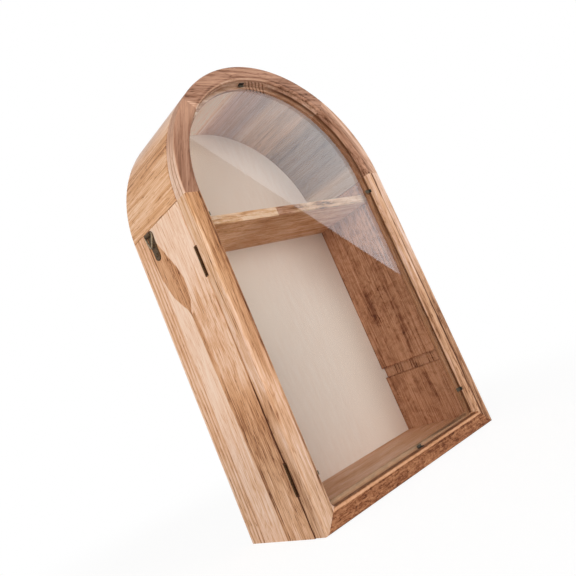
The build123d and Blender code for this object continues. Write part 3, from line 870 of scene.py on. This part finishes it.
def dress_door():
    """The stiles' grain runs upward, the rail's across, and each arch piece's along its length."""
    left_stile = wood(
        "left_stile_wood", Z, X, PINE, left_stile_marks, base=0.51, seed=7.0, pith=(-70, 20),
        tint=(0.96, 0.98, 1.03), washes=left_stile_washes,
        fibre=0.3, vein=0.16, streak=0.13, cloud=0.12, pores=0.2,
    )
    right_stile = wood(
        "right_stile_wood", Z, X, PINE, right_stile_marks, base=0.69, seed=8.0, pith=(95, 20),
        tint=(0.98, 1.08, 1.27), washes=frame_washes,
        ring=0.15, fibre=0.28, pores=0.2,
    )
    bottom_rail = wood(
        "bottom_rail_wood", X, Z, PINE, rail_marks, base=0.85, seed=9.0,
        tint=(1.02, 1.0, 1.04), washes=rail_washes,
        ring=0.04, fibre=0.14, length=9, vein=0.05, streak=0.05, cloud=0.06, pores=0.05, curl=0.06,
    )
    arch_left = wood(
        "arch_left_wood", (0.4, 0, 0.917), (0.917, 0, -0.4), UMBER, arch_left_marks,
        base=0.8, seed=10.0, washes=frame_washes,
        ring=0.03, fibre=0.16, vein=0.06, streak=0.1, cloud=0.14,
    )
    arch_top = wood(
        "arch_top_wood", X, Z, UMBER, arch_top_marks, base=0.76, seed=11.0, pith=(300, 10),
        washes=arch_top_washes, fibre=0.25,
    )
    arch_right = wood(
        "arch_right_wood", (-0.45, 0, 0.893), (0.893, 0, 0.45), UMBER, arch_right_marks,
        base=0.74, seed=12.0, pith=(60, 10), washes=frame_washes, streak=0.25,
    )
    dress(left_stile, "door_left_stile")
    dress(right_stile, "door_right_stile")
    dress(bottom_rail, "door_bottom_rail")
    dress(arch_left, "door_arch_left")
    dress(arch_top, "door_arch_top")
    dress(arch_right, "door_arch_right")


# ---------------------------------------------------------------- other materials


def back_panel_sheet():
    """A pale sheet, smooth with patches of painted light in front, rough grained at the back."""
    g = new_material("back_panel_sheet")
    place = g.object_mm()
    x, y, z = g.axes(place)
    grain = g.noise(g.stretched(place, (0.25, 0.25, 0.04)), detail=4.0)
    fibres = g.noise(g.stretched(place, (1.3, 1.3, 0.07)), detail=4.0)
    front = g.fall(y, panel_front_y + 0.4, panel_front_y + 0.8)
    # Painted light on the front where the shelf and the sides shade it
    left = g.times(g.fall(x, -40, 30), g.step(z, 120, 190))
    foot = g.times(g.step(x, 30, 95), g.fall(z, 140, 200))
    painted_light = g.times(front, g.math("MAXIMUM", left, foot))
    dull = g.times(g.step(x, 20, 80), g.times(g.step(z, 170, 230), g.fall(z, 250, 290)))
    dull = g.times(front, dull)
    rough = g.times(g.step(fibres, 0.35, 0.7), g.inverse(front))
    colour = g.ramp(grain, [(0.3, srgb("F4E2D6")), (0.7, srgb("F8E9DF"))])
    colour = g.mix(painted_light, colour, srgb("FFF0E4"))
    colour = g.mix(dull, colour, srgb("E6D3C7"))
    colour = g.mix(g.scaled(rough, 0.3), colour, srgb("CDB59F"))
    return g.finish_principled({
        "Base Color": colour,
        "Roughness": 0.75,
        "Specular IOR Level": 0.2,
    })


def patchy_metal(g, patches, colour, metallic, roughness_low, roughness_high):
    """Finish a metal whose roughness and surface vary with its patches."""
    return g.finish_principled({
        "Base Color": colour,
        "Metallic": metallic,
        "Roughness": g.step(patches, 0.3, 0.7, roughness_low, roughness_high),
        "Normal": g.bump(patches, METAL_RELIEF, 0.5),
    })


def metal_patches(g, place, dark, light):
    """Patches, and their colours from dark to light."""
    patches = g.noise(place, detail=4.0, roughness=0.6)
    return patches, g.ramp(patches, [(0.35, srgb(dark)), (0.65, srgb(light))])


def metal(name, dark, light, roughness, metallic):
    """A metal whose colour runs in patches from dark to light."""
    g = new_material(name)
    patches, colour = metal_patches(g, g.object_mm(), dark, light)
    return patchy_metal(g, patches, colour, metallic, roughness - 0.08, roughness + 0.12)


def clip_steel():
    """Blackened steel, paler on the legs that lie on the glass."""
    g = new_material("blackened_steel")
    place = g.object_mm()
    y = g.axes(place)[1]
    patches, dark = metal_patches(g, place, "1E1B17", "3A352D")
    pale = g.ramp(patches, [(0.35, srgb("4A4439")), (0.65, srgb("6A6253"))])
    glass_legs = g.step(y, glass_front_y - 1.1, glass_front_y - 0.75)
    return patchy_metal(g, patches, g.mix(glass_legs, dark, pale), 0.2, 0.5, 0.65)


def clear_glass():
    """A clear pane: what is behind shows through each face, and each mirrors more at a slant."""
    g = new_material("clear_glass")
    facing = g.node("LayerWeight", {"Blend": 0.5}).outputs["Facing"]
    # It mirrors 0.042 of the light head on, and nearly all of it at a grazing slant.
    mirrored = g.scaled(g.math("POWER", facing, 4.0), 0.95, 0.042)
    through = g.node("BsdfTransparent", {"Color": (0.975, 0.985, 0.98, 1)})
    mirror = g.node("BsdfGlossy", {"Color": (1, 1, 1, 1), "Roughness": 0.0})
    return g.finish(g.mix_shaders(mirrored, through, mirror))


def dress_fittings():
    """The metal pieces, the glass and the back panel."""
    dress(
        metal("antique_bronze", "3E2B1B", "765438", roughness=0.5, metallic=0.9),
        "upper_hinge_case_leaf",
        "lower_hinge_case_leaf",
        "upper_hinge_door_leaf",
        "lower_hinge_door_leaf",
        "upper_hinge_pin",
        "lower_hinge_pin",
        "hinge_case_screws",
        "hinge_door_screws",
    )
    dress(
        metal("blackened_bronze", "33261A", "6E5639", roughness=0.6, metallic=0.25),
        "left_hanger_strap",
        "right_hanger_strap",
        "left_hanger_screws",
        "right_hanger_screws",
    )
    rings = metal("worn_bronze", "6A5A46", "B5A58A", roughness=0.34, metallic=0.75)
    zinc = metal("zinc", "8F8F8C", "BEBEBA", roughness=0.35, metallic=1.0)
    dress(rings, "left_hanger_ring", "right_hanger_ring")
    dress(zinc, "back_panel_brads", "catch_magnet", "catch_plate")
    dress(clip_steel(), "glass_clips", "glass_clip_nails")
    dress(clear_glass(), "glass_pane")
    dress(back_panel_sheet(), "back_panel")


# ---------------------------------------------------------------- stage

# Lamps, in metres and watts, which aim at the middle of the case
LAMP_AIM = (0, 0, 0.2)
LAMP_SIZE = 1.3
LAMPS = [("key", (-1.75, -1.25, 0.5), 29), ("fill", (0.62, -1.9, 0.25), 17.5)]
AMBIENT = 0.38

# Between these distances from the origin, in millimetres, the floor goes from shadowed to white.
FLOOR_SHADOWED, FLOOR_WHITE = 250, 700
FLOOR_HALF_SIZE = 30.0

# Between these places in x, in millimetres, a card's glow goes from its left to its right strength.
CARD_LEFT, CARD_RIGHT = 1000, 1900
FLAG_STRENGTH = 0.02


def place_camera():
    """The camera stands low at the front left and leans over to its right."""
    position = Vector((-396.70, -388.91, 113.50)) * MM
    aim = Vector((-64.82, 0.0, 180.31)) * MM
    roll = math.radians(-22.745)
    forward = (aim - position).normalized()
    right = forward.cross(Vector(Z)).normalized()
    up = right.cross(forward)
    turned_right = right * math.cos(roll) + up * math.sin(roll)
    turned_up = turned_right.cross(forward)
    data = bpy.data.cameras.new("camera")
    data.sensor_width = 36.0
    data.lens = 36.509
    data.shift_x = 0.05696
    data.shift_y = 0.04193
    data.clip_start = 0.01
    camera = bpy.data.objects.new("camera", data)
    axes = Matrix((turned_right, turned_up, -forward)).transposed()
    camera.matrix_world = Matrix.Translation(position) @ axes.to_4x4()
    bpy.context.scene.collection.objects.link(camera)
    bpy.context.scene.camera = camera


def white_surroundings():
    """A white world as seen, with a plainer level of light on the object."""
    world = bpy.data.worlds.new("surroundings")
    bpy.context.scene.world = world
    g = Graph(world)
    rays = g.node("LightPath", {}).outputs
    seen = rays["Is Camera Ray"]
    for kind in ("Is Glossy Ray", "Is Transmission Ray"):
        seen = g.math("MAXIMUM", seen, rays[kind])
    light = g.node("Background", {"Color": (1.0, 0.985, 0.965, 1), "Strength": AMBIENT})
    white = g.node("Background", {"Color": (1, 1, 1, 1)})
    g.finish(g.mix_shaders(seen, light, white), "OutputWorld")


def area_light(name, position, power):
    """A round lamp that lights the object and doesn't show in it."""
    data = bpy.data.lights.new(name, "AREA")
    data.shape = "DISK"
    data.size = LAMP_SIZE
    data.energy = power
    lamp = bpy.data.objects.new(name, data)
    lamp.location = position
    direction = Vector(LAMP_AIM) - Vector(position)
    lamp.rotation_euler = direction.to_track_quat("-Z", "Y").to_euler()
    lamp.visible_glossy = False
    bpy.context.scene.collection.objects.link(lamp)


def flat_sheet(name, corners, material):
    """A flat sheet for the stage, with its corners in metres."""
    mesh = bpy.data.meshes.new(name)
    mesh.from_pydata(corners, [], [tuple(range(len(corners)))])
    made = bpy.data.objects.new(name, mesh)
    made.data.materials.append(material)
    bpy.context.scene.collection.objects.link(made)
    return made


def lay_floor():
    """A pale floor that is seen as white, apart from the object's shadow near it."""
    g = new_material("stage_floor")
    reach = g.node("VectorMath", {0: g.object_mm()}, operation="LENGTH").outputs["Value"]
    share = g.step(reach, FLOOR_SHADOWED, FLOOR_WHITE, 0.8, 1.0)
    strength = g.step(reach, FLOOR_SHADOWED, FLOOR_WHITE, 1.1, 1.0)
    seen = g.node("LightPath", {}).outputs["Is Camera Ray"]
    paint = g.node("BsdfDiffuse", {"Color": (0.92, 0.92, 0.92, 1)})
    glow = g.node("Emission", {"Color": (1, 1, 1, 1), "Strength": strength})
    material = g.finish(g.mix_shaders(g.times(share, seen), paint, glow))
    half = FLOOR_HALF_SIZE
    corners = [(-half, -half, 0), (half, -half, 0), (half, half, 0), (-half, half, 0)]
    flat_sheet("floor", corners, material)


def mirrored_card(name, corners, left_strength, right_strength):
    """A glowing card that only mirrors and the glass show."""
    g = new_material(name)
    x = g.axes(g.object_mm())[0]
    strength = g.step(x, CARD_LEFT, CARD_RIGHT, left_strength, right_strength)
    glow = g.node("Emission", {"Color": (0.92, 1.02, 1.11, 1), "Strength": strength})
    card = flat_sheet(name, corners, g.finish(glow))
    card.visible_camera = False
    card.visible_diffuse = False
    card.visible_transmission = False
    card.visible_volume_scatter = False
    card.visible_shadow = False


def hang_cards():
    """A softbox at the right of the front, cut off by dark flags, as the glass mirrors them."""
    y, near_y = -1.3, -0.055
    left, right = -0.2, 2.3
    lying = 0.002  # just above the floor
    # The softbox and the flag share the edge between these corners
    upper, lower = (0.567, y, 1.503), (2.207, y, 0.087)
    softbox = [upper, lower, (3.2, y, 1.2), (1.55, y, 2.6)]
    flag = [upper, lower, (2.2, y, -0.1), (left, y, -0.1), (left, y, 1.4)]
    floor_flag = [(left, near_y), (right, near_y), (right, y), (left, y)]
    floor_flag = [(*corner, lying) for corner in floor_flag]
    mirrored_card("softbox", softbox, 1.0, 1.8)
    mirrored_card("flag", flag, FLAG_STRENGTH, FLAG_STRENGTH)
    mirrored_card("floor_flag", floor_flag, FLAG_STRENGTH, FLAG_STRENGTH)


dress_case()
dress_door()
dress_fittings()
place_camera()
white_surroundings()
lay_floor()
hang_cards()
for name, position, power in LAMPS:
    area_light(name, position, power)

view = bpy.context.scene.view_settings
view.view_transform = "Standard"
